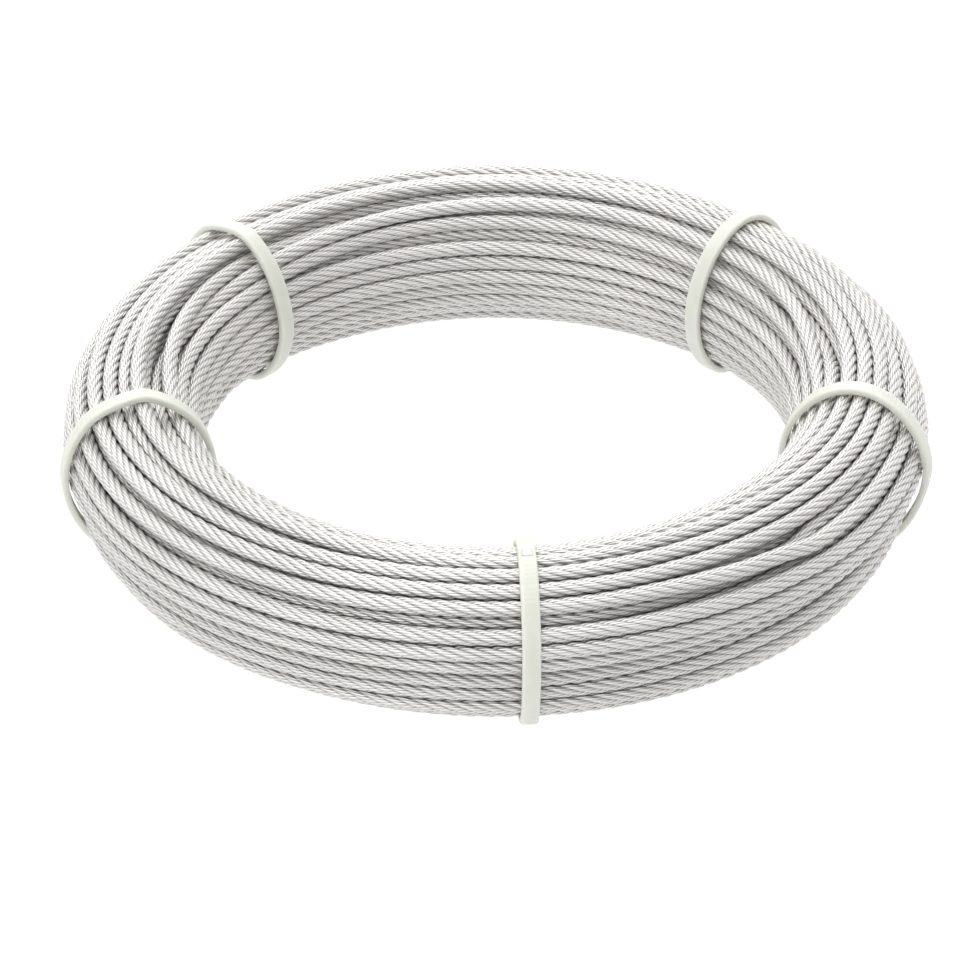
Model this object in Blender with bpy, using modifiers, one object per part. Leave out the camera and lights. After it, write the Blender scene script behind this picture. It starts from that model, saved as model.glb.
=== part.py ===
"""A coil of wire rope, bundled with five cable ties and lying flat.

Metres, +Z up. The origin is the middle of the coil's bore, on the surface that it lies on.
The camera side of the coil is -Y, and azimuths run from +X towards +Y, in degrees.
Section coordinates are x, away from the bore's axis, and z, up, from the bundle's centre.
"""

import math

import bmesh
import bpy
import numpy as np
from mathutils import Matrix, Vector

# Rope and bundle
ROPE_DIAMETER = 0.0028
CENTRE_RADIUS = 0.0632
BUNDLE_WIDTH = 0.0254
BUNDLE_HEIGHT = 0.0316
ROUNDNESS = 1.9  # 2 is an ellipse, less is slimmer at the corners
PINCH = 0.055  # how much slimmer the bundle is under a tie than as drawn
BOTTOM_FLAT = 0.0010  # how far the lowest turns are pressed up by the floor
FLOOR_GAP = 0.0001

# Winding
WHOLE_TURNS = 72
START_AZIMUTH = 265.5  # just short of the front tie, on the bore side
END_AZIMUTH = 52.0  # just past the back right tie, outside
SLICES = 180  # sections round the coil in which the turns are settled
CONTACT = 0.965 * ROPE_DIAMETER  # lobed ropes nest a little into each other
WANDER = 0.32 * ROPE_DIAMETER
WANDER_KNOT = 45  # slices between two random pushes on a turn
SWIRL = 0.7 * ROPE_DIAMETER
SWIRL_WAVES = (1, 2, 2, 3, 3, 4, 5)  # how often each shared push comes round the coil
SWIRL_FINENESS = (0.6, 1.4)  # half waves of a shared push across the bundle
LOOSEST_PITCH = 1.15 * ROPE_DIAMETER
PITCH_STEP = 0.999
SETTLE_STEPS = 260
PULL = 0.05  # how strongly a turn is drawn back to its aim at first
STIFFNESS = ((1, 0.3, 0.05), (6, 0.25, 0.02))  # reach in slices, what fades and what stays
PUSH = 0.45  # the share of an overlap that each of two turns gives up in a step
CENTRING_STEP = 150  # when the middle of each slice is brought back onto the bundle's circle
OVAL = 0.0004  # how far that circle is drawn in at OVAL_AZIMUTH, so that the coil ends up round
OVAL_AZIMUTH = 10.0
SEED = 10

# Turned body
TURN_STEPS = 45
SECTION_POINTS = 138
DEEPEST_CREASE = 0.6 * ROPE_DIAMETER
CREASE_REACH = 3  # section points over which a crease is measured from the turns beside it
CREASE_ANGLE = 60

# Cable ties
STRAP_WIDTH = 0.0030
STRAP_THICKNESS = 0.0012
STRAP_BEVEL = 0.0004
STRAP_SIDES = 28
FIT_GAP = 0.0003
HEAD_LENGTH = 0.0052
HEAD_WIDTH = 0.0052
HEAD_HEIGHT = 0.0037
HEAD_BEVEL = 0.0005
HEAD_LIFT = 0.0002
TAIL_STUB = 0.0008
TAIL_THICKNESS = 0.0010
MOULDED_EDGE_ANGLE = 35
INNER_LOW = 204  # section angles of the heads
OUTER_LOW = -10

# Each tie: name, azimuth and skew in degrees, the section angle of its head, and how much the
# bundle swells between it and the next tie
TIES = (
    ("cable_tie_back_right", 45.2, 1.9, OUTER_LOW, 0.065),
    ("cable_tie_back_left", 138.5, -1.5, OUTER_LOW, 0.060),
    ("cable_tie_left", 194.9, -1.7, INNER_LOW, 0.062),
    ("cable_tie_front", 274.5, -0.6, INNER_LOW, 0.078),
    ("cable_tie_right", 347.5, -5.0, INNER_LOW, 0.080),
)

SLIM = 1 - PINCH
CENTRE_HEIGHT = STRAP_THICKNESS + FIT_GAP + BUNDLE_HEIGHT / 2 * SLIM - BOTTOM_FLAT

ZINC = ((0.72, 0.73, 0.74), 0.32, 1.0)
NYLON = ((0.86, 0.87, 0.82), 0.42, 0.0)


def clear_scene():
    for obj in list(bpy.data.objects):
        bpy.data.objects.remove(obj, do_unlink=True)


def new_collection(name):
    collection = bpy.data.collections.new(name)
    bpy.context.scene.collection.children.link(collection)
    return collection


def new_material(name, look):
    colour, roughness, metallic = look
    material = bpy.data.materials.new(name)
    material.use_nodes = True
    shader = material.node_tree.nodes["Principled BSDF"]
    shader.inputs["Base Color"].default_value = (*colour, 1)
    shader.inputs["Roughness"].default_value = roughness
    shader.inputs["Metallic"].default_value = metallic
    return material


def signed_power(value, power):
    return np.sign(value) * np.abs(value) ** power


def slimming(azimuth):
    """The bundle's scale at azimuths in degrees: slimmest under each tie."""
    places = np.array([tie[1] for tie in TIES] + [TIES[0][1] + 360])
    swell = np.array([tie[4] for tie in TIES])
    beyond = (np.asarray(azimuth) - places[0]) % 360
    span = np.searchsorted(places - places[0], beyond, side="right") - 1
    share = (beyond - places[span] + places[0]) / (places[span + 1] - places[span])
    return SLIM + swell[span] * np.sin(np.pi * share) ** 2


def hex_rows(pitch):
    """Points of a hexagonal layout inside the bundle, in winding order: row by row outwards."""
    half_width = (BUNDLE_WIDTH - ROPE_DIAMETER) / 2
    half_height = (BUNDLE_HEIGHT - ROPE_DIAMETER) / 2
    column_step = pitch * math.sqrt(3) / 2
    columns = int(half_width / column_step)
    steps = int(half_height / pitch) + 1
    rows = []
    for c in range(-columns, columns + 1):
        x = c * column_step
        shift = 0.5 * pitch * (c % 2)
        z = np.arange(-steps, steps + 1) * pitch + shift
        inside = np.abs(x / half_width) ** ROUNDNESS + np.abs(z / half_height) ** ROUNDNESS <= 1
        column = [(x, value) for value in z[inside]]
        rows += column if c % 2 else column[::-1]
    return np.array(rows)


def layout_of(count):
    """A hexagonal layout that holds exactly the number of turns, with its pitch found by steps."""
    pitch = LOOSEST_PITCH
    while len(hex_rows(pitch)) < count:
        pitch *= PITCH_STEP
    return hex_rows(pitch)[:count]


def wander(rng, count):
    """Smooth random pushes along the rope, with a new one every few slices."""
    knots = rng.normal(0, WANDER, (count // WANDER_KNOT + 3, 2))
    at = np.arange(count) / WANDER_KNOT
    k, f = at.astype(int), (at % 1)[:, None]
    ease = f * f * (3 - 2 * f)
    return knots[k] * (1 - ease) + knots[k + 1] * ease


def swirl(rng, line, azimuth):
    """Pushes that neighbouring turns share, so that they drift through the bundle side by side."""
    push = np.zeros_like(line)
    for waves in SWIRL_WAVES:
        heading, start, phase = rng.uniform(0, 2 * math.pi, 3)
        across = np.array([math.cos(heading), math.sin(heading)])
        rate = rng.uniform(*SWIRL_FINENESS) * math.pi / BUNDLE_WIDTH
        swing = np.cos(np.radians(azimuth) * waves + start) * np.cos(line @ across * rate + phase)
        push += SWIRL / math.sqrt(waves) * swing[:, None] * (across[1], -across[0])
    return push


def push_apart(grid):
    """One step that moves touching turns of each slice away from each other."""
    apart = grid[:, :, None, :] - grid[:, None, :, :]
    distance = np.sqrt((apart**2).sum(-1)) + np.eye(grid.shape[1], dtype=np.float32) * 1e3
    over = np.maximum(CONTACT - distance, 0)
    return (apart * (over / distance)[..., None]).sum(2) * PUSH


def hold_in(points, scale):
    """Moves points that lie outside the bundle's outline back onto it."""
    half_width = (BUNDLE_WIDTH * scale - ROPE_DIAMETER) / 2
    half_height = (BUNDLE_HEIGHT * scale - ROPE_DIAMETER) / 2
    reach = (
        np.abs(points[..., 0] / half_width) ** ROUNDNESS
        + np.abs(points[..., 1] / half_height) ** ROUNDNESS
    ) ** (1 / ROUNDNESS)
    held = points / np.maximum(reach, 1)[..., None]
    floor = -(CENTRE_HEIGHT - ROPE_DIAMETER / 2 - FLOOR_GAP)
    held[..., 1] = np.maximum(held[..., 1], np.maximum(BOTTOM_FLAT - half_height, floor))
    return held


def wind_rope():
    """The rope's centre line in section coordinates, one point a slice."""
    rng = np.random.default_rng(SEED)
    last_share = ((END_AZIMUTH - START_AZIMUTH) % 360) / 360
    count = int((WHOLE_TURNS + last_share) * SLICES)
    layers = WHOLE_TURNS + 1
    layout = layout_of(layers + 1)
    at = np.arange(count) / SLICES
    k, f = at.astype(int), (at % 1)[:, None]
    line = layout[k] * (1 - f) + layout[k + 1] * f
    azimuth = START_AZIMUTH + 360 * np.arange(count) / SLICES
    aim = (line + wander(rng, count) + swirl(rng, line, azimuth)).astype(np.float32)
    line = aim.copy()
    spare = layers * SLICES - count
    slice_azimuth = START_AZIMUTH + 360 * np.arange(SLICES) / SLICES
    scale = slimming(slice_azimuth)[:, None].astype(np.float32)
    oval = OVAL * np.cos(2 * np.radians(slice_azimuth - OVAL_AZIMUTH))[:, None, None]
    far_off = 1 + np.arange(spare, dtype=np.float32)[:, None].repeat(2, 1)
    for step in range(SETTLE_STEPS):
        fade = 1 - step / SETTLE_STEPS
        line += (aim - line) * PULL * fade**2
        for reach, fading, staying in STIFFNESS:
            middle = (line[: -2 * reach] + line[2 * reach:]) / 2
            line[reach:-reach] += (fading * fade + staying) * (middle - line[reach:-reach])
        grid = np.concatenate([line, far_off]).reshape(layers, SLICES, 2).transpose(1, 0, 2)
        grid = grid + push_apart(grid)
        if step == CENTRING_STEP:
            grid[..., :1] -= grid[:, :WHOLE_TURNS, :1].mean(1, keepdims=True) + oval
        held = hold_in(grid, scale)
        line = held.transpose(1, 0, 2).reshape(-1, 2)[:count].copy()
    return line


def outer_reach(turns, angles):
    """How far from the section's centre the outermost turn is met at each section angle."""
    radius = ROPE_DIAMETER / 2
    c, s = np.cos(angles)[:, None], np.sin(angles)[:, None]
    along = c * turns[:, 0] + s * turns[:, 1]
    aside = np.abs(c * turns[:, 1] - s * turns[:, 0])
    chord = np.sqrt(np.maximum(radius**2 - aside**2, 0))
    met = np.where(aside < radius, along + chord, 0).max(1)
    crown = np.max([np.roll(met, k) for k in range(-CREASE_REACH, CREASE_REACH + 1)], axis=0)
    return np.maximum(met, crown - DEEPEST_CREASE)


def turned_ring(collection):
    """A plain ring with an even section, turned round the bore's axis."""
    mesh = bpy.data.meshes.new("plain_ring")
    shape = bmesh.new()
    # A profile at +X runs down its outer side, so that the turned faces point out.
    profile = []
    for i in range(SECTION_POINTS):
        angle = -2 * math.pi * i / SECTION_POINTS
        x, z = BUNDLE_WIDTH / 2 * math.cos(angle), BUNDLE_WIDTH / 2 * math.sin(angle)
        profile.append(shape.verts.new((CENTRE_RADIUS + x, 0, z)))
    for a, b in zip(profile, profile[1:] + profile[:1]):
        shape.edges.new((a, b))
    shape.to_mesh(mesh)
    shape.free()
    ring = bpy.data.objects.new("plain_ring", mesh)
    collection.objects.link(ring)
    screw = ring.modifiers.new("Turn", "SCREW")
    screw.axis = "Z"
    screw.angle = 2 * math.pi
    screw.steps = screw.render_steps = TURN_STEPS
    screw.use_merge_vertices = True
    screw.merge_threshold = 0.0001
    graph = bpy.context.evaluated_depsgraph_get()
    body = bpy.data.meshes.new_from_object(ring.evaluated_get(graph))
    bpy.data.objects.remove(ring)
    return body


def make_coil(collection):
    """The wound rope as one turned body, whose surface follows the turns that show outside."""
    line = wind_rope()
    angles = 2 * np.pi * np.arange(SECTION_POINTS) / SECTION_POINTS
    slices = range(0, SLICES, SLICES // TURN_STEPS)
    reach = [outer_reach(line[first::SLICES], angles) for first in slices]
    body = turned_ring(collection)
    for vertex in body.vertices:
        azimuth = math.atan2(vertex.co.y, vertex.co.x)
        angle = math.atan2(vertex.co.z, vertex.co.xy.length - CENTRE_RADIUS)
        step = round(azimuth / (2 * math.pi) * TURN_STEPS) % TURN_STEPS
        out = reach[step][round(angle / (2 * math.pi) * SECTION_POINTS) % SECTION_POINTS]
        radius = CENTRE_RADIUS + out * math.cos(angle)
        vertex.co.x, vertex.co.y = radius * math.cos(azimuth), radius * math.sin(azimuth)
        vertex.co.z = CENTRE_HEIGHT + out * math.sin(angle)
    body.name = "wire_rope_coil"
    body.shade_smooth()
    body.set_sharp_from_angle(angle=math.radians(CREASE_ANGLE))
    coil = bpy.data.objects.new("wire_rope_coil", body)
    coil.rotation_euler.z = math.radians(START_AZIMUTH)
    collection.objects.link(coil)
    coil.data.materials.clear()
    coil.data.materials.append(new_material("zinc_plated_wire", ZINC))


def bundle_point(angle, offset):
    """A point of the section under a tie, moved out by offset along the normal, and the normal."""
    half_width, half_height = BUNDLE_WIDTH / 2 * SLIM, BUNDLE_HEIGHT / 2 * SLIM
    c, s = math.cos(angle), math.sin(angle)
    x = half_width * signed_power(c, 2 / ROUNDNESS)
    z = half_height * signed_power(s, 2 / ROUNDNESS)
    normal = Vector(
        (
            signed_power(x / half_width, ROUNDNESS - 1) / half_width,
            signed_power(z / half_height, ROUNDNESS - 1) / half_height,
        )
    ).normalized()
    lowest = -(half_height - BOTTOM_FLAT) - offset
    return Vector((x + normal.x * offset, max(z + normal.y * offset, lowest))), normal


def strap_outline(curve, offset, widening):
    """One closed outline of the strap, with a flat side lying under the bundle."""
    spline = curve.splines.new("POLY")
    spline.points.add(STRAP_SIDES - 1)
    for i, point in enumerate(spline.points):
        angle = 2 * math.pi * (i + 0.5) / STRAP_SIDES
        place, _ = bundle_point(angle, offset)
        point.co = (place.x * widening, place.y, 0, 1)
    spline.use_cyclic_u = True


def make_strap(name, collection, place, widening):
    """The strap as a flat ring cut from the section's outline, with its long edges bevelled."""
    curve = bpy.data.curves.new(name, "CURVE")
    curve.dimensions = "2D"
    curve.fill_mode = "BOTH"
    curve.extrude = STRAP_WIDTH / 2
    strap_outline(curve, FIT_GAP, widening)
    strap_outline(curve, FIT_GAP + STRAP_THICKNESS, widening)
    guide = bpy.data.objects.new(name + "_outline", curve)
    collection.objects.link(guide)
    guide.matrix_world = place
    graph = bpy.context.evaluated_depsgraph_get()
    mesh = bpy.data.meshes.new_from_object(guide.evaluated_get(graph))
    bpy.data.objects.remove(guide)
    weld = bmesh.new()
    weld.from_mesh(mesh)
    bmesh.ops.remove_doubles(weld, verts=weld.verts, dist=0.00001)
    rims = [edge for edge in weld.edges if edge.calc_face_angle(0) > math.radians(60)]
    bmesh.ops.bevel(weld, geom=rims, offset=STRAP_BEVEL, segments=1, affect="EDGES")
    weld.to_mesh(mesh)
    weld.free()
    mesh.name = name
    strap = bpy.data.objects.new(name, mesh)
    strap.matrix_world = place
    collection.objects.link(strap)
    return strap


def make_block(name, collection, place, size, bevel):
    mesh = bpy.data.meshes.new(name)
    shape = bmesh.new()
    bmesh.ops.create_cube(shape, size=1, matrix=Matrix.Diagonal((*size, 1)))
    if bevel:
        bmesh.ops.bevel(shape, geom=shape.edges[:], offset=bevel, segments=1, affect="EDGES")
    shape.to_mesh(mesh)
    shape.free()
    block = bpy.data.objects.new(name, mesh)
    block.matrix_world = place
    block.hide_render = True
    block.display_type = "WIRE"
    collection.objects.link(block)
    return block


def make_tie(name, azimuth, skew, head_angle, parts, joined):
    """One moulded tie: strap, head and the cut end of its tail."""
    azimuth, skew = math.radians(azimuth), math.radians(skew)
    middle = Vector(
        (CENTRE_RADIUS * math.cos(azimuth), CENTRE_RADIUS * math.sin(azimuth), CENTRE_HEIGHT)
    )
    plane = Matrix.Rotation(azimuth + skew, 4, "Z") @ Matrix.Rotation(math.pi / 2, 4, "X")
    place = Matrix.Translation(middle) @ plane
    # A strap that lies askew across the curved bundle needs a slightly wider loop.
    widening = 1 + STRAP_WIDTH * math.tan(abs(skew)) / (BUNDLE_WIDTH * SLIM)
    strap = make_strap(name, parts, place, widening)

    seat, normal = bundle_point(math.radians(head_angle), FIT_GAP + HEAD_LIFT)
    seat.x *= widening
    outward = Vector((normal.x, normal.y, 0))
    turn = Matrix.Rotation(math.atan2(normal.y, normal.x), 4, "Z")
    head_middle = Vector((seat.x, seat.y, 0)) + outward * HEAD_HEIGHT / 2
    tail_middle = Vector((seat.x, seat.y, 0)) + outward * (HEAD_HEIGHT + TAIL_STUB) / 2
    head_size = (HEAD_HEIGHT, HEAD_LENGTH, HEAD_WIDTH)
    tail_size = (HEAD_HEIGHT + TAIL_STUB, TAIL_THICKNESS, STRAP_WIDTH - STRAP_BEVEL)
    blocks = (
        make_block(name + "_head", joined, place @ Matrix.Translation(head_middle) @ turn,
                   head_size, HEAD_BEVEL),
        make_block(name + "_tail", joined, place @ Matrix.Translation(tail_middle) @ turn,
                   tail_size, 0),
    )
    for block in blocks:
        union = strap.modifiers.new("Join " + block.name, "BOOLEAN")
        union.operation = "UNION"
        union.object = block
    strap.data.shade_smooth()
    strap.data.set_sharp_from_angle(angle=math.radians(MOULDED_EDGE_ANGLE))
    strap.data.materials.clear()
    strap.data.materials.append(new_material(name + "_nylon", NYLON))


def main():
    clear_scene()
    parts = new_collection("Coil of wire rope")
    joined = new_collection("Cutters and joined shapes")
    make_coil(parts)
    for name, azimuth, skew, head_angle, _ in TIES:
        make_tie(name, azimuth, skew, head_angle, parts, joined)


main()
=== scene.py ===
"""Dresses the coil of wire rope: wound strands, cable ties, light and camera.

Metres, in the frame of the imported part: +Z up, origin under the middle of the bore.
Section coordinates are x, away from the bore's axis, and z, up, from the bundle's centre.
"""

import math

import bmesh
import bpy
import numpy as np
from mathutils import Matrix, Vector

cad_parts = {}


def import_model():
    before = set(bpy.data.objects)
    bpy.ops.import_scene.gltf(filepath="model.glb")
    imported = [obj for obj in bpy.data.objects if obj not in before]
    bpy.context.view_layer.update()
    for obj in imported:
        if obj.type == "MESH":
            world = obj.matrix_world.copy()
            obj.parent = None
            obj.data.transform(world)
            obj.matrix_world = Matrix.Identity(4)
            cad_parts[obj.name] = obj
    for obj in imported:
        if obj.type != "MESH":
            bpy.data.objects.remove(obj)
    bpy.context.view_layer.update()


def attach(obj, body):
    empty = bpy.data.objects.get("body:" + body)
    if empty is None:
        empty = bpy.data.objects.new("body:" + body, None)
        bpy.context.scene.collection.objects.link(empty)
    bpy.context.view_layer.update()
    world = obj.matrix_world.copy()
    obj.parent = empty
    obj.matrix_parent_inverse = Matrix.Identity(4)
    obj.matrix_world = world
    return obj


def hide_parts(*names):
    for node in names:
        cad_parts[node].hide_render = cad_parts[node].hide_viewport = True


# Bundle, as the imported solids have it
ROPE = 0.0028
CENTRE_RADIUS = 0.0632
BUNDLE_WIDTH = 0.0254
BUNDLE_HEIGHT = 0.0316
ROUNDNESS = 1.9
PINCH = 0.055
BOTTOM_FLAT = 0.0010
FIT_GAP = 0.0003
FLOOR_GAP = 0.0001

# Straps, heads and tails
STRAP_WIDTH = 0.0030
STRAP_THICKNESS = 0.0012
HEAD_LENGTH = 0.0052
HEAD_WIDTH = 0.0052
HEAD_HEIGHT = 0.0037
HEAD_LIFT = 0.0002
HEAD_EDGE = 0.0006
WINDOW_LENGTH = 0.0019
WINDOW_WIDTH = 0.0034
WINDOW_DEPTH = 0.0016
WINDOW_LIP = 0.00015
WINDOW_TAPER = 0.00001
TAIL_STUB = 0.0008
TAIL_FOOT = 0.0008  # how far inside the head the tail begins
TAIL_THICKNESS = 0.0010
TAIL_WIDTH = STRAP_WIDTH - 0.0004
TAIL_SLANT = 0.12
TAIL_EDGE = 0.00012
OUTLINE_STEPS = 720
STRAP_STEPS = 144
STRAP_SOFTNESS = 48  # outline steps over which a strap rounds off the corners of the bundle
STRAP_EASE = 0.0002
STRAP_INNER_EDGE = 0.00015
STRAP_OUTER_EDGE = 0.00045
SHARP_DEGREES = 50
MM = 1000  # map coordinates are in millimetres

# What follows for the bundle
SLIM = 1 - PINCH
CENTRE_HEIGHT = STRAP_THICKNESS + FIT_GAP + BUNDLE_HEIGHT / 2 * SLIM - BOTTOM_FLAT
FRONT_AZIMUTH = 274.5

# Ties: node, azimuth and skew in degrees, the section angle of the head, and how much the
# bundle swells before the next tie
TIES = (
    ("cable_tie_back_right", 45.2, 1.9, -10, 0.065),
    ("cable_tie_back_left", 138.5, -1.5, -10, 0.060),
    ("cable_tie_left", 194.9, -1.7, 204, 0.062),
    ("cable_tie_front", FRONT_AZIMUTH, -0.6, 204, 0.078),
    ("cable_tie_right", 347.5, -5.0, 204, 0.080),
)
TIE_REACH = 2.2  # degrees on each side of a tie in which turns hold its strap out
# a small pad in lighter nylon on one strap: a painted highlight
PAD_TIE = "cable_tie_front"
PAD_AT = 0.0183  # along the strap, from its outermost point over the top
PAD_SIZE = (0.0013, 0.0019, 0.0016)  # mostly sunk in the strap
PAD_RISE = 0.00008
PAD_EDGE = 0.00005

# Winding
WHOLE_TURNS = 72
START_AZIMUTH = 265.5  # just short of the front tie, on the bore side
END_AZIMUTH = 52.0  # just past the back right tie, outside
SLICES = 180  # sections round the coil in which the turns are settled
CONTACT = 0.965 * ROPE  # lobed ropes nest a little into each other
WANDER = 0.32 * ROPE
WANDER_KNOT = 45  # slices between two random pushes on a turn
SWIRL = 0.7 * ROPE
SWIRL_WAVES = (1, 2, 2, 3, 3, 4, 5)  # how often each shared push comes round the coil
SWIRL_FINENESS = (0.6, 1.4)  # half waves of a shared push across the bundle
LOOSEST_PITCH = 1.15 * ROPE
PITCH_STEP = 0.999
SETTLE_STEPS = 260
PULL = 0.05  # how strongly a turn is drawn back to its aim at first
STIFFNESS = ((1, 0.3, 0.05), (6, 0.25, 0.02))  # reach in slices, what fades and what stays
PUSH = 0.45  # the share of an overlap that each of two turns gives up in a step
CENTRING_STEP = 150  # when the middle of each slice is brought back onto the bundle's circle
OVAL = 0.0004  # how far that circle is drawn in at OVAL_AZIMUTH, so that the coil ends up round
OVAL_AZIMUTH = 10.0
SELF_DISTANCE = 1e3  # so large that no turn pushes itself
SEED = 10

# What can be seen of the turns
SIGHT_LINES = 32  # directions from which a turn may be seen
SIGHT_START = 0.2 * ROPE
SIGHT_WIDTH = 0.53 * ROPE
SEEN_MARGIN = 5  # slices that stay stranded beyond what can be seen
SEEN_ENDS = 20  # slices that are always stranded at each end of the rope

# Strands and wires
LAY = 6.3 * ROPE
STRANDS = 6
POINTS_PER_STRAND = 4
RINGS_PER_SLICE = 2
STRAND_RING = ROPE / 3
STRAND_RADIUS = ROPE / 6
GROOVE_FLOOR = 0.37 * ROPE  # wires fill the bottom of the groove between two strands
PLAIN_POINTS = 8
PLAIN_RADIUS = 0.47 * ROPE
PIECES = 6
PAINTED_CREASE_REACH = 0.24 * ROPE  # how far from a neighbouring turn the painted shade where turns touch begins
PALEST_PAINTED_CREASE = 0.30  # how dark that painted shade is behind, as a share of that in front
PALING_SPAN = 0.05  # the distance over which the painted shade pales, at the middle of the coil

# Zinc-plated wire: shades are shares of the way from dark to light, with painted light on the
# wires' crowns and painted shade between wires, in the grooves and where turns touch
ZINC_DARK = (0.03, 0.03, 0.028)
ZINC_LIGHT = (0.82, 0.805, 0.782)
ZINC_METALLIC = 0.60
WIRES_ACROSS = 3.0  # wires that show side by side on a strand
WIRE_POWER = 0.7
WIRE_RELIEF = 0.00010
WIRE_BUMP = 1.0
# each wire's crown painted lighter and the dips between wires darker: painted light and shade
WIRE_CROWN_PAINTED_LIGHT = 0.48
PAINTED_SHADE_BETWEEN_WIRES = 0.54
# painted shade in the grooves between strands
PAINTED_GROOVE_POWER = 5.0
PAINTED_GROOVE_SHADE = 0.42
# painted shade in the hollows where turns touch
PAINTED_CREASE_POWER = 1.5
PAINTED_CREASE_SHADE = 0.62
DULL_SCALE = 90.0
DULL_SHADE = 0.22
ROUGH_SCALE = 900.0
ROUGH_SPAN = 0.2
ROUGH_LEAST = 0.27
NOISE_DETAIL = 3.0

# Nylon
NYLON_DARK = (0.57, 0.58, 0.51)
NYLON_LIGHT = (0.70, 0.71, 0.655)
# the pad's lighter nylon: a painted highlight
PAD_HIGHLIGHT_DARK = (0.72, 0.73, 0.69)
PAD_HIGHLIGHT_LIGHT = (0.80, 0.81, 0.77)
TOOTH_MM = 0.77
TEETH_FROM_MM, TEETH_TO_MM = 9.4, 17.0  # along the strap, from its outermost point over the top
TEETH_HALF_WIDTH_MM = 1.05
TOOTH_POWER = 0.5
TOOTH_RELIEF = 0.00006
TOOTH_BUMP = 0.6
# painted shade in the dips between the teeth
PAINTED_TOOTH_SHADE = 0.25
CLOUD_SCALE = 260.0
CLOUD_SPAN = 0.7
CLOUD_LEAST = 0.15
NYLON_ROUGHNESS = 0.5
NYLON_DEPTH = (0.0016, 0.0016, 0.0012)
NYLON_TRANSLUCENCE = 0.75

# Floor, surround and lights
FLOOR_SIZE = 6
FLOOR_ROUGHNESS = 0.7
FLOOR_SCALE = 3.0
FLOOR_GLOW = 0.96
FLOOR_DARK = (0.11, 0.11, 0.11)
FLOOR_LIGHT = (0.13, 0.13, 0.13)
SURROUND_LOW = (0.16, 0.16, 0.165)
SURROUND_HIGH = (1.95, 1.95, 1.95)
SURROUND_RISE = 0.95  # share of the way from low to high for each unit of height
SURROUND_LEVEL = 0.12
SURROUND_OVERLAP = 0.5  # how far the two terms below reach past the middle
DIM_IN_FRONT = 0.9  # how much dimmer the surround is to the right in front
LEAN_BEHIND = 0.15  # how much brighter it is to the right than to the left behind

# Panels: name, place, size and watts, each turned towards the coil
PANELS = (
    ("panel_behind", (-0.05, 1.0, 1.0), 1.2, 3.5),
    ("panel_in_front", (-0.15, -0.75, 0.90), 0.45, 1.6),
)

# Camera, from the photograph's outline
CAMERA_DISTANCE = 0.6763
CAMERA_ELEVATION = 32.4
FOCAL_PX = 3870
FRAME_LONG_PX = 971
FRAME_CENTRE_PX = (485.0, 485.5)
COIL_CENTRE_PX = (497.6, 422.2)
SENSOR_MM = 36.0
CLIP_START, CLIP_END = 0.05, 20


def signed_power(value, power):
    """A power of the value's size, with the value's sign."""
    return np.sign(value) * np.abs(value) ** power


def slimming(azimuth):
    """The bundle's scale at azimuths in degrees: slimmest under each tie."""
    places = np.array([tie[1] for tie in TIES] + [TIES[0][1] + 360])
    swell = np.array([tie[4] for tie in TIES])
    beyond = (np.asarray(azimuth) - places[0]) % 360
    span = np.searchsorted(places - places[0], beyond, side="right") - 1
    share = (beyond - places[span] + places[0]) / (places[span + 1] - places[span])
    return SLIM + swell[span] * np.sin(np.pi * share) ** 2


def hex_rows(pitch):
    """Points of a hexagonal layout inside the bundle, in winding order: row by row outwards."""
    half_width = (BUNDLE_WIDTH - ROPE) / 2
    half_height = (BUNDLE_HEIGHT - ROPE) / 2
    column_step = pitch * math.sqrt(3) / 2
    columns = int(half_width / column_step)
    steps = int(half_height / pitch) + 1
    rows = []
    for c in range(-columns, columns + 1):
        x = c * column_step
        shift = 0.5 * pitch * (c % 2)
        z = np.arange(-steps, steps + 1) * pitch + shift
        inside = np.abs(x / half_width) ** ROUNDNESS + np.abs(z / half_height) ** ROUNDNESS <= 1
        column = [(x, value) for value in z[inside]]
        rows += column if c % 2 else column[::-1]
    return np.array(rows)


def layout_of(count):
    """A hexagonal layout of that many turns, with its pitch found by steps."""
    pitch = LOOSEST_PITCH
    while len(hex_rows(pitch)) < count:
        pitch *= PITCH_STEP
    return hex_rows(pitch)[:count]


def wander(rng, count):
    """Smooth random pushes along the rope, with a new one every few slices."""
    knots = rng.normal(0, WANDER, (count // WANDER_KNOT + 3, 2))
    at = np.arange(count) / WANDER_KNOT
    k, f = at.astype(int), (at % 1)[:, None]
    ease = f * f * (3 - 2 * f)
    return knots[k] * (1 - ease) + knots[k + 1] * ease


def swirl(rng, line, azimuth):
    """Pushes that neighbouring turns share, so that they drift through the bundle side by side."""
    push = np.zeros_like(line)
    for waves in SWIRL_WAVES:
        heading, start, phase = rng.uniform(0, 2 * math.pi, 3)
        across = np.array([math.cos(heading), math.sin(heading)])
        rate = rng.uniform(*SWIRL_FINENESS) * math.pi / BUNDLE_WIDTH
        swing = np.cos(np.radians(azimuth) * waves + start) * np.cos(line @ across * rate + phase)
        push += SWIRL / math.sqrt(waves) * swing[:, None] * (across[1], -across[0])
    return push


def push_apart(grid):
    """One step that moves touching turns of each slice away from each other."""
    apart = grid[:, :, None, :] - grid[:, None, :, :]
    distance = np.sqrt((apart**2).sum(-1)) + np.eye(grid.shape[1], dtype=np.float32) * SELF_DISTANCE
    over = np.maximum(CONTACT - distance, 0)
    return (apart * (over / distance)[..., None]).sum(2) * PUSH


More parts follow.
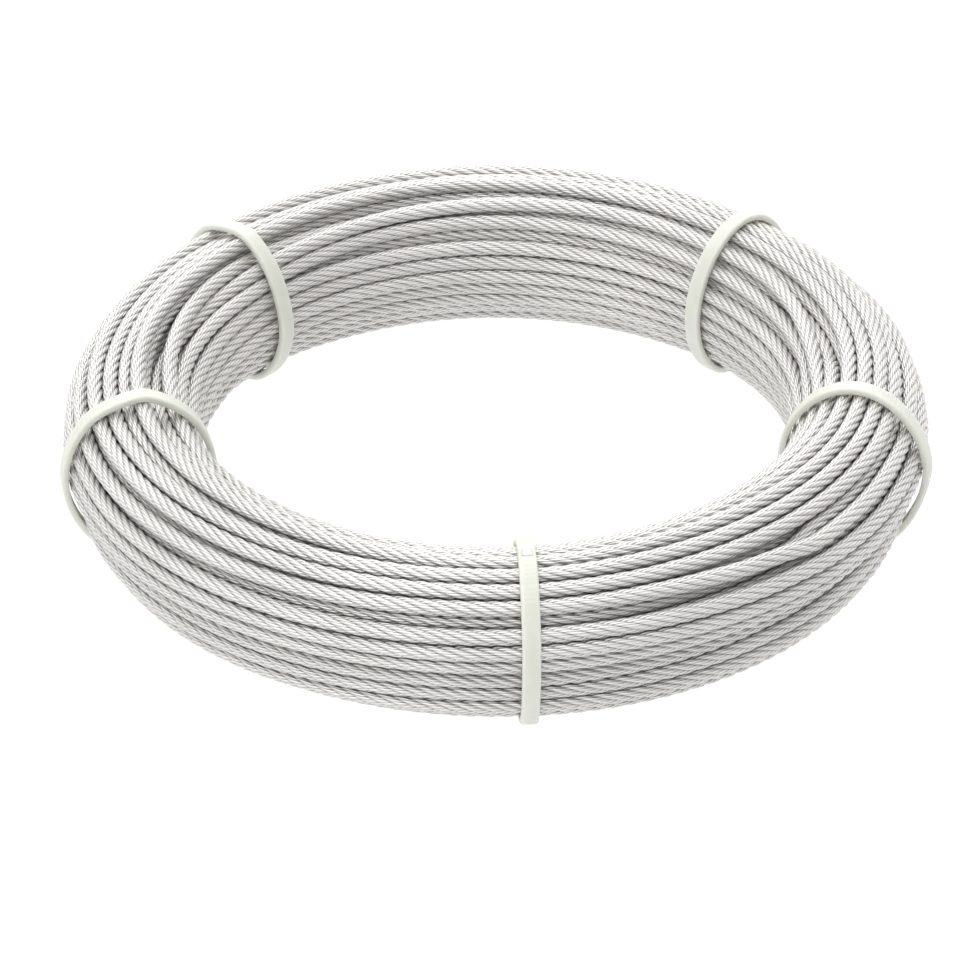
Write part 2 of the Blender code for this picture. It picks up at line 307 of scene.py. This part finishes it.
def hold_in(points, scale):
    """Moves points that lie outside the bundle's outline back onto it."""
    half_width = (BUNDLE_WIDTH * scale - ROPE) / 2
    half_height = (BUNDLE_HEIGHT * scale - ROPE) / 2
    reach = (
        np.abs(points[..., 0] / half_width) ** ROUNDNESS
        + np.abs(points[..., 1] / half_height) ** ROUNDNESS
    ) ** (1 / ROUNDNESS)
    held = points / np.maximum(reach, 1)[..., None]
    floor = -(CENTRE_HEIGHT - ROPE / 2 - FLOOR_GAP)
    held[..., 1] = np.maximum(held[..., 1], np.maximum(BOTTOM_FLAT - half_height, floor))
    return held


def side_by_side(line, per_turn):
    """The turns' places at each step round the coil, with a turn that ends before it far off."""
    layers = -(-len(line) // per_turn)
    missing = layers * per_turn - len(line)
    far_off = 1 + np.arange(missing, dtype=line.dtype)[:, None].repeat(2, 1)
    return np.concatenate([line, far_off]).reshape(layers, per_turn, 2).transpose(1, 0, 2)


def wind_rope():
    """The rope's centre line in section coordinates, a point a slice, and the azimuths."""
    rng = np.random.default_rng(SEED)
    last_share = ((END_AZIMUTH - START_AZIMUTH) % 360) / 360
    count = int((WHOLE_TURNS + last_share) * SLICES)
    layout = layout_of(WHOLE_TURNS + 2)
    at = np.arange(count) / SLICES
    k, f = at.astype(int), (at % 1)[:, None]
    line = layout[k] * (1 - f) + layout[k + 1] * f
    azimuth = START_AZIMUTH + 360 * np.arange(count) / SLICES
    aim = (line + wander(rng, count) + swirl(rng, line, azimuth)).astype(np.float32)
    line = aim.copy()
    slice_azimuth = START_AZIMUTH + 360 * np.arange(SLICES) / SLICES
    scale = slimming(slice_azimuth)[:, None].astype(np.float32)
    oval = OVAL * np.cos(2 * np.radians(slice_azimuth - OVAL_AZIMUTH))[:, None, None]
    for step in range(SETTLE_STEPS):
        fade = 1 - step / SETTLE_STEPS
        line += (aim - line) * PULL * fade**2
        for reach, fading, staying in STIFFNESS:
            middle = (line[: -2 * reach] + line[2 * reach:]) / 2
            line[reach:-reach] += (fading * fade + staying) * (middle - line[reach:-reach])
        grid = side_by_side(line, SLICES)
        grid = grid + push_apart(grid)
        if step == CENTRING_STEP:
            grid[..., :1] -= grid[:, :WHOLE_TURNS, :1].mean(1, keepdims=True) + oval
        held = hold_in(grid, scale)
        line = held.transpose(1, 0, 2).reshape(-1, 2)[:count].copy()
    return line, azimuth


def seen_from_outside(line):
    """Which points of the rope can be seen past the turns around them, and a few beyond."""
    grid = side_by_side(line, SLICES)
    away = grid[:, None, :, :] - grid[:, :, None, :]
    seen = np.zeros(grid.shape[:2], bool)
    for angle in np.linspace(0, 2 * np.pi, SIGHT_LINES, endpoint=False):
        ahead = away[..., 0] * math.cos(angle) + away[..., 1] * math.sin(angle)
        aside = np.abs(away[..., 1] * math.cos(angle) - away[..., 0] * math.sin(angle))
        seen |= ~((ahead > SIGHT_START) & (aside < SIGHT_WIDTH)).any(2)
    seen = seen.transpose(1, 0).reshape(-1)[: len(line)]
    seen = np.convolve(seen, np.ones(2 * SEEN_MARGIN + 1), "same") > 0
    seen[:SEEN_ENDS] = seen[-SEEN_ENDS:] = True
    return seen


def refine(values, times):
    """Cubic interpolation of values at even steps, to times as many points."""
    count = (len(values) - 1) * times + 1
    at = np.arange(count) / times
    k = np.minimum(at.astype(int), len(values) - 2)
    f = (at - k)[:, None]
    a, b = values[np.maximum(k - 1, 0)], values[k]
    c, d = values[k + 1], values[np.minimum(k + 2, len(values) - 1)]
    return b + 0.5 * f * (c - a + f * (2 * a - 5 * b + 4 * c - d + f * (3 * (b - c) + d - a)))


def rope_frames(line, azimuth):
    """Places, sideways and upward directions and distance travelled along the rope."""
    angle = np.radians(azimuth)
    radius = CENTRE_RADIUS + line[:, 0]
    places = np.stack(
        [radius * np.cos(angle), radius * np.sin(angle), CENTRE_HEIGHT + line[:, 1]], 1
    )
    forward = np.gradient(places, axis=0)
    forward /= np.linalg.norm(forward, axis=1)[:, None]
    side = np.cross(forward, (0, 0, 1.0))
    side /= np.linalg.norm(side, axis=1)[:, None]
    up = np.cross(side, forward)
    steps = np.linalg.norm(np.diff(places, axis=0), axis=1)
    return places, side, up, np.concatenate([[0], np.cumsum(steps)])


def plain_profile():
    """Even angles round the rope's hidden core, and its radius there."""
    angle = np.arange(PLAIN_POINTS) * 2 * np.pi / PLAIN_POINTS
    return angle, np.full(PLAIN_POINTS, PLAIN_RADIUS)


def strand_profile():
    """Even angles round the stranded rope, from a strand's crown, and its radius there."""
    points = STRANDS * POINTS_PER_STRAND
    angle = np.arange(points) * 2 * np.pi / points
    from_crown = (angle + np.pi / STRANDS) % (2 * np.pi / STRANDS) - np.pi / STRANDS
    under = STRAND_RADIUS**2 - (STRAND_RING * np.sin(from_crown)) ** 2
    crown = STRAND_RING * np.cos(from_crown) + np.sqrt(np.maximum(under, 0))
    return angle, np.maximum(crown, GROOVE_FLOOR)


class Tubes:
    """Collects tubes as plain arrays and makes one mesh of them."""

    def __init__(self):
        self.points, self.corners, self.sizes, self.maps = [], [], [], []
        self.grooves, self.painted_crease_shades = [], []
        self.count = 0

    def add(self, rings, along, around, painted_crease_shades, groove_every):
        """rings is n x m x 3, creases n x m; along and around are map coordinates of each."""
        n, m = rings.shape[:2]
        i, j = np.arange(n - 1)[:, None], np.arange(m)[None]
        nxt = (j + 1) % m
        a, b = i * m + j, (i + 1) * m + j
        c, d = (i + 1) * m + nxt, i * m + nxt
        quads = np.stack([a, b, c, d], -1).reshape(-1)
        u0, u1 = along[:-1, None] + 0 * j, along[1:, None] + 0 * j
        step = around[1] - around[0]
        v0, v1 = around[None] + 0 * i, around[None] + step + 0 * i
        maps = np.stack(
            [np.stack([u, v], -1) for u, v in ((u0, v0), (u1, v0), (u1, v1), (u0, v1))], -2
        ).reshape(-1, 2)
        caps = np.concatenate([np.arange(m), (n - 1) * m + np.arange(m)[::-1]])
        cap_map = np.zeros((2 * m, 2))
        self.points.append(rings.reshape(-1, 3))
        self.corners.append(np.concatenate([quads, caps]) + self.count)
        self.sizes.append(np.concatenate([np.full((n - 1) * m, 4), [m, m]]))
        self.maps.append(np.concatenate([maps, cap_map]))
        groove = np.zeros((n, m), bool)
        if groove_every:
            groove[:, groove_every // 2::groove_every] = True
        self.grooves.append(groove.reshape(-1))
        self.painted_crease_shades.append(painted_crease_shades.reshape(-1))
        self.count += n * m

    def to_object(self, name, material):
        """One mesh of all the tubes, smooth but for the bottoms of the grooves."""
        points = np.concatenate(self.points).astype(np.float32)
        corners = np.concatenate(self.corners).astype(np.int32)
        sizes = np.concatenate(self.sizes).astype(np.int32)
        mesh = bpy.data.meshes.new(name)
        mesh.vertices.add(len(points))
        mesh.vertices.foreach_set("co", points.ravel())
        mesh.loops.add(len(corners))
        mesh.loops.foreach_set("vertex_index", corners)
        mesh.polygons.add(len(sizes))
        mesh.polygons.foreach_set("loop_start", np.concatenate([[0], np.cumsum(sizes)[:-1]]))
        mesh.polygons.foreach_set("loop_total", sizes)
        mesh.update(calc_edges=True)
        layer = mesh.uv_layers.new(name="rope")
        layer.uv.foreach_set("vector", np.concatenate(self.maps).astype(np.float32).ravel())
        mesh.shade_smooth()
        ends = np.zeros(len(mesh.edges) * 2, np.int32)
        mesh.edges.foreach_get("vertices", ends)
        grooves = np.concatenate(self.grooves)[ends.reshape(-1, 2)].all(1)
        sharp = mesh.attributes.new("sharp_edge", "BOOLEAN", "EDGE")
        sharp.data.foreach_set("value", grooves)
        # painted shade where turns touch, kept on each point for the wire's material
        painted_crease_shades = mesh.attributes.new("crease_painted_shade", "FLOAT", "POINT")
        painted_crease_shades.data.foreach_set("value", np.concatenate(self.painted_crease_shades).astype(np.float32))
        return linked(name, mesh, material)


def runs_of(flags, cuts):
    """Stretches of equal flags, also ended at each cut: first index, last index and flag."""
    ends = np.flatnonzero(np.diff(flags.astype(int))) + 1
    ends = np.unique(np.concatenate([[0], ends, cuts, [len(flags) - 1]]))
    return [(a, b, bool(flags[(a + b) // 2])) for a, b in zip(ends[:-1], ends[1:]) if b > a]


def painted_crease_shade_at(line, first, last, turn, reach, neighbours):
    """Painted shade where turns touch: one where a point round the rope touches another turn, down
    to zero at the set reach.
    """
    index = np.arange(first, last + 1)
    offset = np.stack([np.cos(turn), np.sin(turn)], -1) * reach
    points = line[index, None] + offset
    others = neighbours[index % len(neighbours)].copy()
    others[np.arange(len(index)), index // len(neighbours)] = -1  # the turn itself: far off
    gaps = points[:, :, None] - others[:, None]
    clear = np.sqrt((gaps**2).sum(-1)).min(-1) - ROPE / 2
    return np.clip(1 - clear / PAINTED_CREASE_REACH, 0, 1)


def painted_crease_strength(y):
    """The painted shade where turns touch is darkest in front and pales towards the back, as in the
    photograph.
    """
    share = np.clip(0.5 - y / PALING_SPAN, 0, 1)
    return PALEST_PAINTED_CREASE + (1 - PALEST_PAINTED_CREASE) * share


def piece_cuts(per_turn):
    """Steps along the rope, all under the front tie, where one piece ends and the next begins."""
    under_tie = round((FRONT_AZIMUTH - START_AZIMUTH) / 360 * per_turn)
    turns = [round(WHOLE_TURNS * piece / PIECES) for piece in range(1, PIECES)]
    return under_tie + per_turn * np.array(turns)


def make_rope(line, azimuth, material):
    """The rope: twisted strands where it shows, a plain round core where its turns hide it."""
    seen = np.repeat(seen_from_outside(line), RINGS_PER_SLICE)
    line = refine(line, RINGS_PER_SLICE)
    azimuth = refine(azimuth[:, None], RINGS_PER_SLICE)[:, 0]
    places, side, up, travelled = rope_frames(line, azimuth)
    per_turn = SLICES * RINGS_PER_SLICE
    neighbours = side_by_side(line, per_turn)
    cuts = piece_cuts(per_turn)
    groups = [Tubes() for _ in range(PIECES)]
    for first, last, shows in runs_of(seen[: len(line)], cuts):
        some = slice(first, last + 1)
        angle, radius = strand_profile() if shows else plain_profile()
        twist = shows * 2 * np.pi * travelled[some, None] / LAY
        turn = angle[None] - twist
        reach = radius[None, :, None]
        painted_crease_shades = np.ones(turn.shape)
        if shows:
            # painted shade: darker where a turn touches its neighbours, and more so in front
            painted_crease_shades = painted_crease_shade_at(line, first, last, turn, reach, neighbours)
            painted_crease_shades *= painted_crease_strength(places[some, 1])[:, None]
        rings = places[some, None] + reach * (
            side[some, None] * np.cos(turn)[..., None] + up[some, None] * np.sin(turn)[..., None]
        )
        around = angle * STRANDS / (2 * np.pi) + 0.5
        group = groups[int(np.searchsorted(cuts, (first + last) / 2))]
        group.add(rings, travelled[some] * MM, around, painted_crease_shades, shows * POINTS_PER_STRAND)
    for number, group in enumerate(groups, 1):
        piece = group.to_object(f"rope_turns_{number}", material)
        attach(piece, "root")
        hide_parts("wire_rope_coil")


def tie_outline(points):
    """The soft outline that a strap takes round the turns at these points, and its normals."""
    angle = np.arange(OUTLINE_STEPS) * 2 * np.pi / OUTLINE_STEPS
    normal = np.stack([np.cos(angle), np.sin(angle)], 1)
    reach = (points @ normal.T).max(0) + ROPE / 2 + STRAP_EASE
    kernel = np.hanning(2 * STRAP_SOFTNESS + 1)
    wrapped = np.concatenate([reach[-STRAP_SOFTNESS:], reach, reach[:STRAP_SOFTNESS]])
    reach = np.convolve(wrapped, kernel / kernel.sum(), "valid")
    slope = (np.roll(reach, -1) - np.roll(reach, 1)) / (2 * (angle[1] - angle[0]))
    along = np.stack([-normal[:, 1], normal[:, 0]], 1)
    outline = normal * reach[:, None] + along * slope[:, None]
    outline[:, 1] = np.maximum(outline[:, 1], STRAP_THICKNESS - CENTRE_HEIGHT)
    return outline, normal


def resample_closed(points, normals, count):
    """Points and normals at even steps round a closed outline, and the distance travelled."""
    closed = np.concatenate([points, points[:1]])
    far = np.concatenate([[0], np.cumsum(np.linalg.norm(np.diff(closed, axis=0), axis=1))])
    at = np.arange(count) * far[-1] / count
    both = np.concatenate([closed, np.concatenate([normals, normals[:1]])], 1)
    out = np.stack([np.interp(at, far, both[:, k]) for k in range(4)], 1)
    normal = out[:, 2:] / np.linalg.norm(out[:, 2:], axis=1)[:, None]
    return out[:, :2], normal, at


def strap_section():
    """The strap's own section: across its width and out from the bundle, rounder outside."""
    half, thick = STRAP_WIDTH / 2, STRAP_THICKNESS
    corners = (
        (-1, 0, STRAP_INNER_EDGE, 270, 180), (-1, 1, STRAP_OUTER_EDGE, 180, 90),
        (1, 1, STRAP_OUTER_EDGE, 90, 0), (1, 0, STRAP_INNER_EDGE, 0, -90),
    )
    points = []
    for side, outer, radius, start, end in corners:
        x = side * (half - radius)
        y = thick - radius if outer else radius
        for angle in np.radians(np.linspace(start, end, 5 if outer else 3)):
            points.append((x + radius * math.cos(angle), y + radius * math.sin(angle)))
    return np.array(points)


def make_strap(name, place, outline, normals, travelled, material):
    """The closed strap: its section carried round the outline."""
    section = strap_section()
    steps, m = len(outline), len(section)
    rings = np.zeros((steps, m, 3))
    rings[..., 0] = outline[:, None, 0] + normals[:, None, 0] * section[None, :, 1]
    rings[..., 1] = outline[:, None, 1] + normals[:, None, 1] * section[None, :, 1]
    rings[..., 2] = section[None, :, 0]
    matrix = np.array(place)
    points = rings.reshape(-1, 3) @ matrix[:3, :3].T + matrix[:3, 3]
    points[:, 2] = np.maximum(points[:, 2], 0)
    i, j = np.arange(steps)[:, None], np.arange(m)[None]
    after, nxt = (i + 1) % steps, (j + 1) % m
    faces = np.stack([i * m + j, i * m + nxt, after * m + nxt, after * m + j], -1).reshape(-1, 4)
    mesh = bpy.data.meshes.new(name)
    mesh.from_pydata(points.tolist(), [], faces.tolist())
    step = travelled[1] - travelled[0]
    far = np.stack([travelled, travelled, travelled + step, travelled + step], 1)
    u = np.repeat(far[:, None], m, 1).reshape(-1)
    across = section[:, 0]
    v = np.stack([across, np.roll(across, -1), np.roll(across, -1), across], 1)
    v = np.repeat(v[None], steps, 0).reshape(-1)
    layer = mesh.uv_layers.new(name="strap")
    layer.uv.foreach_set("vector", np.stack([u, v], 1).astype(np.float32).ravel() * MM)
    return as_object(name, mesh, material)


def linked(name, mesh, material):
    mesh.materials.append(material)
    piece = bpy.data.objects.new(name, mesh)
    bpy.context.scene.collection.objects.link(piece)
    return piece


def as_object(name, mesh, material):
    mesh.shade_smooth()
    mesh.set_sharp_from_angle(angle=math.radians(SHARP_DEGREES))
    return linked(name, mesh, material)


def box_shape(size, foot):
    """A box that stands on the section's normal, x, with its lower end at foot."""
    shape = bmesh.new()
    middle = Matrix.Translation((foot + size[0] / 2, 0, 0))
    bmesh.ops.create_cube(shape, size=1, matrix=middle @ Matrix.Diagonal((*size, 1)))
    return shape


def bevel_edges(shape, offset, segments):
    bmesh.ops.bevel(shape, geom=shape.edges[:], offset=offset, segments=segments, affect="EDGES")


def shape_object(name, shape, place, material):
    mesh = bpy.data.meshes.new(name)
    shape.to_mesh(mesh)
    shape.free()
    mesh.transform(place)
    return as_object(name, mesh, material)


def make_head(name, place, material):
    """The tie's head as a rounded block, with a window in its outer face."""
    shape = box_shape((HEAD_HEIGHT, HEAD_LENGTH, HEAD_WIDTH), 0)
    bevel_edges(shape, HEAD_EDGE, segments=4)
    top = max(shape.faces, key=lambda face: face.calc_center_median().x)
    bmesh.ops.inset_region(shape, faces=[top], thickness=HEAD_EDGE)
    for vertex in top.verts:
        vertex.co.y = math.copysign(WINDOW_LENGTH / 2, vertex.co.y)
        vertex.co.z = math.copysign(WINDOW_WIDTH / 2, vertex.co.z)
    bmesh.ops.inset_region(shape, faces=[top], thickness=WINDOW_LIP, depth=-WINDOW_LIP)
    bmesh.ops.inset_region(shape, faces=[top], thickness=WINDOW_TAPER, depth=-WINDOW_DEPTH)
    return shape_object(name, shape, place, material)


def make_tail(name, place, material):
    """The cut end of the strap, standing a little out of the window with a slanting cut."""
    length = HEAD_HEIGHT + TAIL_STUB - TAIL_FOOT
    shape = box_shape((length, TAIL_THICKNESS, TAIL_WIDTH), TAIL_FOOT)
    for vertex in shape.verts:
        if vertex.co.x > HEAD_HEIGHT:
            vertex.co.x += vertex.co.z * TAIL_SLANT
    bevel_edges(shape, TAIL_EDGE, segments=2)
    return shape_object(name, shape, place, material)


def make_pad(name, place, material):
    """A small, flat, square rise in the outer face of the strap, in lighter nylon as a painted
    highlight.
    """
    shape = box_shape(PAD_SIZE, -PAD_SIZE[0] / 2)
    bevel_edges(shape, PAD_EDGE, segments=2)
    return shape_object(name, shape, place, material)


def tie_place(azimuth, skew):
    """A tie's plane, in which x runs away from the bore's axis and y up."""
    angle = math.radians(azimuth)
    middle = (CENTRE_RADIUS * math.cos(angle), CENTRE_RADIUS * math.sin(angle), CENTRE_HEIGHT)
    plane = Matrix.Rotation(angle + math.radians(skew), 4, "Z")
    return Matrix.Translation(middle) @ plane @ Matrix.Rotation(math.pi / 2, 4, "X")


def place_on_strap(place, outline, normals, index, lift):
    """A place above a point of the outline, in which x runs along its normal."""
    point = outline[index] + normals[index] * lift
    turn = Matrix.Rotation(math.atan2(normals[index][1], normals[index][0]), 4, "Z")
    return place @ Matrix.Translation((point[0], point[1], 0)) @ turn


def make_ties(line, azimuth, material, highlight_pad_material):
    """Each tie: its strap, its head where the part has it, and the cut end of its tail."""
    for name, tie_azimuth, skew, head_angle, _ in TIES:
        near = np.abs((azimuth - tie_azimuth + 180) % 360 - 180) < TIE_REACH
        outline, normals, travelled = resample_closed(*tie_outline(line[near]), STRAP_STEPS)
        place = tie_place(tie_azimuth, skew)
        seat = int(np.argmax(normals @ section_normal(math.radians(head_angle))))
        head_place = place_on_strap(place, outline, normals, seat, HEAD_LIFT)
        pieces = [
            make_strap(name + "_strap", place, outline, normals, travelled, material),
            make_head(name + "_head", head_place, material),
            make_tail(name + "_tail", head_place, material),
        ]
        # the pad in lighter nylon: a painted highlight
        if name == PAD_TIE:
            index = int(np.searchsorted(travelled, PAD_AT))
            lift = STRAP_THICKNESS + PAD_RISE - PAD_SIZE[0] / 2
            pad_place = place_on_strap(place, outline, normals, index, lift)
            pieces.append(make_pad(name + "_pad", pad_place, highlight_pad_material))
        for piece in pieces:
            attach(piece, "root")
            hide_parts(name)


def section_normal(angle):
    """The outward direction of the bundle's outline at a section angle."""
    half = np.array([BUNDLE_WIDTH, BUNDLE_HEIGHT]) / 2 * SLIM
    place = signed_power(np.array([math.cos(angle), math.sin(angle)]), 2 / ROUNDNESS)
    normal = signed_power(place, ROUNDNESS - 1) / half
    return normal / np.linalg.norm(normal)


def new_material(name):
    material = bpy.data.materials.new(name)
    material.use_nodes = True
    tree = material.node_tree
    return material, tree, tree.nodes["Principled BSDF"]


def math_node(tree, operation, a, b=None, clamp=False):
    node = tree.nodes.new("ShaderNodeMath")
    node.operation = operation
    node.use_clamp = clamp
    for socket, value in zip(node.inputs, (a, b)):
        if value is None:
            continue
        if isinstance(value, (int, float)):
            socket.default_value = value
        else:
            tree.links.new(value, socket)
    return node.outputs[0]


def scaled(tree, value, factor, plus, clamp=False):
    """A value times a factor, plus a constant."""
    return math_node(tree, "ADD", math_node(tree, "MULTIPLY", value, factor), plus, clamp)


def noise_node(tree, scale):
    """Even noise in the object's own space, between about 0 and 1."""
    place = tree.nodes.new("ShaderNodeTexCoord")
    noise = tree.nodes.new("ShaderNodeTexNoise")
    noise.inputs["Scale"].default_value = scale
    noise.inputs["Detail"].default_value = NOISE_DETAIL
    tree.links.new(place.outputs["Object"], noise.inputs["Vector"])
    return noise.outputs["Fac"]


def map_coordinates(tree, name):
    """The two coordinates of a map: along the piece, and round or across it."""
    uv = tree.nodes.new("ShaderNodeUVMap")
    uv.uv_map = name
    split = tree.nodes.new("ShaderNodeSeparateXYZ")
    tree.links.new(uv.outputs[0], split.inputs[0])
    return split.outputs[0], split.outputs[1]


def mix_colours(tree, share, dark, light):
    """The colour a share of the way from dark to light."""
    mix = tree.nodes.new("ShaderNodeMix")
    mix.data_type = "RGBA"
    for socket, colour in ((mix.inputs[6], dark), (mix.inputs[7], light)):
        if isinstance(colour, tuple):
            socket.default_value = (*colour, 1)
        else:
            tree.links.new(colour, socket)
    tree.links.new(share, mix.inputs[0])
    return mix.outputs[2]


def bump_node(tree, height, distance, strength, shader):
    bump = tree.nodes.new("ShaderNodeBump")
    bump.inputs["Strength"].default_value = strength
    bump.inputs["Distance"].default_value = distance
    tree.links.new(height, bump.inputs["Height"])
    tree.links.new(bump.outputs[0], shader.inputs["Normal"])


def zinc_material():
    """Bright zinc-plated wires: fine round stripes along the rope on each twisted strand, with
    painted light on their crowns and painted shade between them, in the grooves and where turns
    touch.
    """
    material, tree, shader = new_material("zinc_plated_wire")
    along, around = map_coordinates(tree, "rope")
    on_strand = math_node(tree, "SUBTRACT", math_node(tree, "FRACT", around), 0.5)
    across = math_node(tree, "MULTIPLY", on_strand, WIRES_ACROSS)
    wire = math_node(tree, "SUBTRACT", across, along)
    wave = math_node(tree, "SINE", math_node(tree, "MULTIPLY", wire, math.pi))
    ridge = math_node(tree, "POWER", math_node(tree, "ABSOLUTE", wave), WIRE_POWER)
    bump_node(tree, ridge, WIRE_RELIEF, WIRE_BUMP, shader)
    aside = math_node(tree, "MULTIPLY", math_node(tree, "ABSOLUTE", on_strand), 2.0)
    # painted shade where turns touch, read from the rope's points
    crease_painted_shade = tree.nodes.new("ShaderNodeAttribute")
    crease_painted_shade.attribute_name = "crease_painted_shade"
    # painted light on each wire's crown, painted shade between wires
    bright = scaled(tree, ridge, WIRE_CROWN_PAINTED_LIGHT, PAINTED_SHADE_BETWEEN_WIRES)
    # painted shade: darker in the grooves between strands and in the hollows where turns touch
    for depth, power, shade in (
        (aside, PAINTED_GROOVE_POWER, PAINTED_GROOVE_SHADE),
        (crease_painted_shade.outputs["Fac"], PAINTED_CREASE_POWER, PAINTED_CREASE_SHADE),
    ):
        dark = math_node(tree, "MULTIPLY", math_node(tree, "POWER", depth, power), shade)
        bright = math_node(tree, "SUBTRACT", bright, dark)
    dull = scaled(tree, noise_node(tree, DULL_SCALE), DULL_SHADE, -DULL_SHADE / 2)
    bright = math_node(tree, "SUBTRACT", bright, dull)
    colour = mix_colours(tree, bright, ZINC_DARK, ZINC_LIGHT)
    tree.links.new(colour, shader.inputs["Base Color"])
    rough = scaled(tree, noise_node(tree, ROUGH_SCALE), ROUGH_SPAN, ROUGH_LEAST)
    tree.links.new(rough, shader.inputs["Roughness"])
    shader.inputs["Metallic"].default_value = ZINC_METALLIC
    return material


def nylon_teeth(tree):
    """One all along the strap, but for the fine dips between its ratchet teeth."""
    along, across = map_coordinates(tree, "strap")
    turn = math_node(tree, "MULTIPLY", along, math.pi / TOOTH_MM)
    wave = math_node(tree, "ABSOLUTE", math_node(tree, "SINE", turn))
    dip = math_node(tree, "SUBTRACT", 1.0, math_node(tree, "POWER", wave, TOOTH_POWER))
    off_middle = math_node(tree, "ABSOLUTE", across)
    for inside in (
        math_node(tree, "LESS_THAN", off_middle, TEETH_HALF_WIDTH_MM),
        math_node(tree, "GREATER_THAN", along, TEETH_FROM_MM),
        math_node(tree, "LESS_THAN", along, TEETH_TO_MM),
    ):
        dip = math_node(tree, "MULTIPLY", dip, inside)
    return math_node(tree, "SUBTRACT", 1.0, dip)


def nylon_material(name, dark, light):
    """Natural nylon: off-white, slightly translucent, with faint ratchet teeth across it, the dips
    between them darker as painted shade.
    """
    material, tree, shader = new_material(name)
    teeth = nylon_teeth(tree)
    bump_node(tree, teeth, TOOTH_RELIEF, TOOTH_BUMP, shader)
    cloud = scaled(tree, noise_node(tree, CLOUD_SCALE), CLOUD_SPAN, CLOUD_LEAST)
    # painted shade: the dips between the teeth are darker
    share = math_node(tree, "ADD", math_node(tree, "MULTIPLY", teeth, PAINTED_TOOTH_SHADE), cloud)
    colour = mix_colours(tree, share, dark, light)
    tree.links.new(colour, shader.inputs["Base Color"])
    shader.inputs["Roughness"].default_value = NYLON_ROUGHNESS
    shader.inputs["Subsurface Weight"].default_value = NYLON_TRANSLUCENCE
    shader.inputs["Subsurface Radius"].default_value = NYLON_DEPTH
    shader.inputs["Subsurface Scale"].default_value = 1.0
    return material


def make_floor():
    """A glowing white floor, as of a light table."""
    bpy.ops.mesh.primitive_plane_add(size=FLOOR_SIZE, location=(0, 0, 0))
    floor = bpy.context.object
    floor.name = "floor"
    material, tree, shader = new_material("white_floor")
    colour = mix_colours(tree, noise_node(tree, FLOOR_SCALE), FLOOR_DARK, FLOOR_LIGHT)
    tree.links.new(colour, shader.inputs["Base Color"])
    shader.inputs["Roughness"].default_value = FLOOR_ROUGHNESS
    shader.inputs["Emission Color"].default_value = (1, 1, 1, 1)
    shader.inputs["Emission Strength"].default_value = FLOOR_GLOW
    floor.data.materials.append(material)


def make_world():
    """A soft surround: brightest overhead, dimmer low down and to the right in front."""
    world = bpy.data.worlds.new("studio")
    bpy.context.scene.world = world
    world.use_nodes = True
    tree = world.node_tree
    place = tree.nodes.new("ShaderNodeTexCoord")
    split = tree.nodes.new("ShaderNodeSeparateXYZ")
    tree.links.new(place.outputs["Generated"], split.inputs[0])
    x, y, z = split.outputs
    behind = math_node(tree, "MAXIMUM", math_node(tree, "ADD", y, SURROUND_OVERLAP), 0.0)
    front = math_node(tree, "MAXIMUM", math_node(tree, "SUBTRACT", SURROUND_OVERLAP, y), 0.0)
    right = math_node(tree, "MAXIMUM", x, 0.0)
    lean = math_node(tree, "MULTIPLY", math_node(tree, "MULTIPLY", x, behind), LEAN_BEHIND)
    dim = math_node(tree, "MULTIPLY", math_node(tree, "MULTIPLY", right, front), DIM_IN_FRONT)
    height = math_node(tree, "ADD", z, math_node(tree, "SUBTRACT", lean, dim))
    share = scaled(tree, height, SURROUND_RISE, SURROUND_LEVEL, clamp=True)
    colour = mix_colours(tree, share, SURROUND_LOW, SURROUND_HIGH)
    tree.links.new(colour, tree.nodes["Background"].inputs[0])


def make_light():
    make_world()
    for name, place, size, power in PANELS:
        light = bpy.data.lights.new(name, "AREA")
        light.size = size
        light.energy = power
        lamp = bpy.data.objects.new(name, light)
        lamp.location = place
        lamp.rotation_mode = "QUATERNION"
        lamp.rotation_quaternion = Vector(place).to_track_quat("Z", "Y")
        bpy.context.scene.collection.objects.link(lamp)
    bpy.context.scene.view_settings.view_transform = "Standard"


def make_camera():
    """Looks at the coil from the photograph's height, turned so that it sits off centre."""
    elevation = math.radians(CAMERA_ELEVATION)
    centre = Vector((0, 0, CENTRE_HEIGHT))
    back = Vector((0, -math.cos(elevation), math.sin(elevation)))
    camera = bpy.data.objects.new("camera", bpy.data.cameras.new("camera"))
    camera.data.sensor_width = SENSOR_MM
    camera.data.lens = FOCAL_PX * SENSOR_MM / FRAME_LONG_PX
    camera.data.clip_start, camera.data.clip_end = CLIP_START, CLIP_END
    camera.location = centre + back * CAMERA_DISTANCE
    turn = math.atan((COIL_CENTRE_PX[0] - FRAME_CENTRE_PX[0]) / FOCAL_PX)
    tip = math.atan((FRAME_CENTRE_PX[1] - COIL_CENTRE_PX[1]) / FOCAL_PX)
    camera.rotation_euler = (math.pi / 2 - elevation - tip, 0, turn)
    bpy.context.scene.collection.objects.link(camera)
    bpy.context.scene.camera = camera


def main():
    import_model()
    make_camera()
    make_light()
    make_floor()
    line, azimuth = wind_rope()
    make_rope(line, azimuth, zinc_material())
    nylon = nylon_material("natural_nylon", NYLON_DARK, NYLON_LIGHT)
    make_ties(line, azimuth, nylon, nylon_material("nylon_painted_highlight", PAD_HIGHLIGHT_DARK, PAD_HIGHLIGHT_LIGHT))


main()
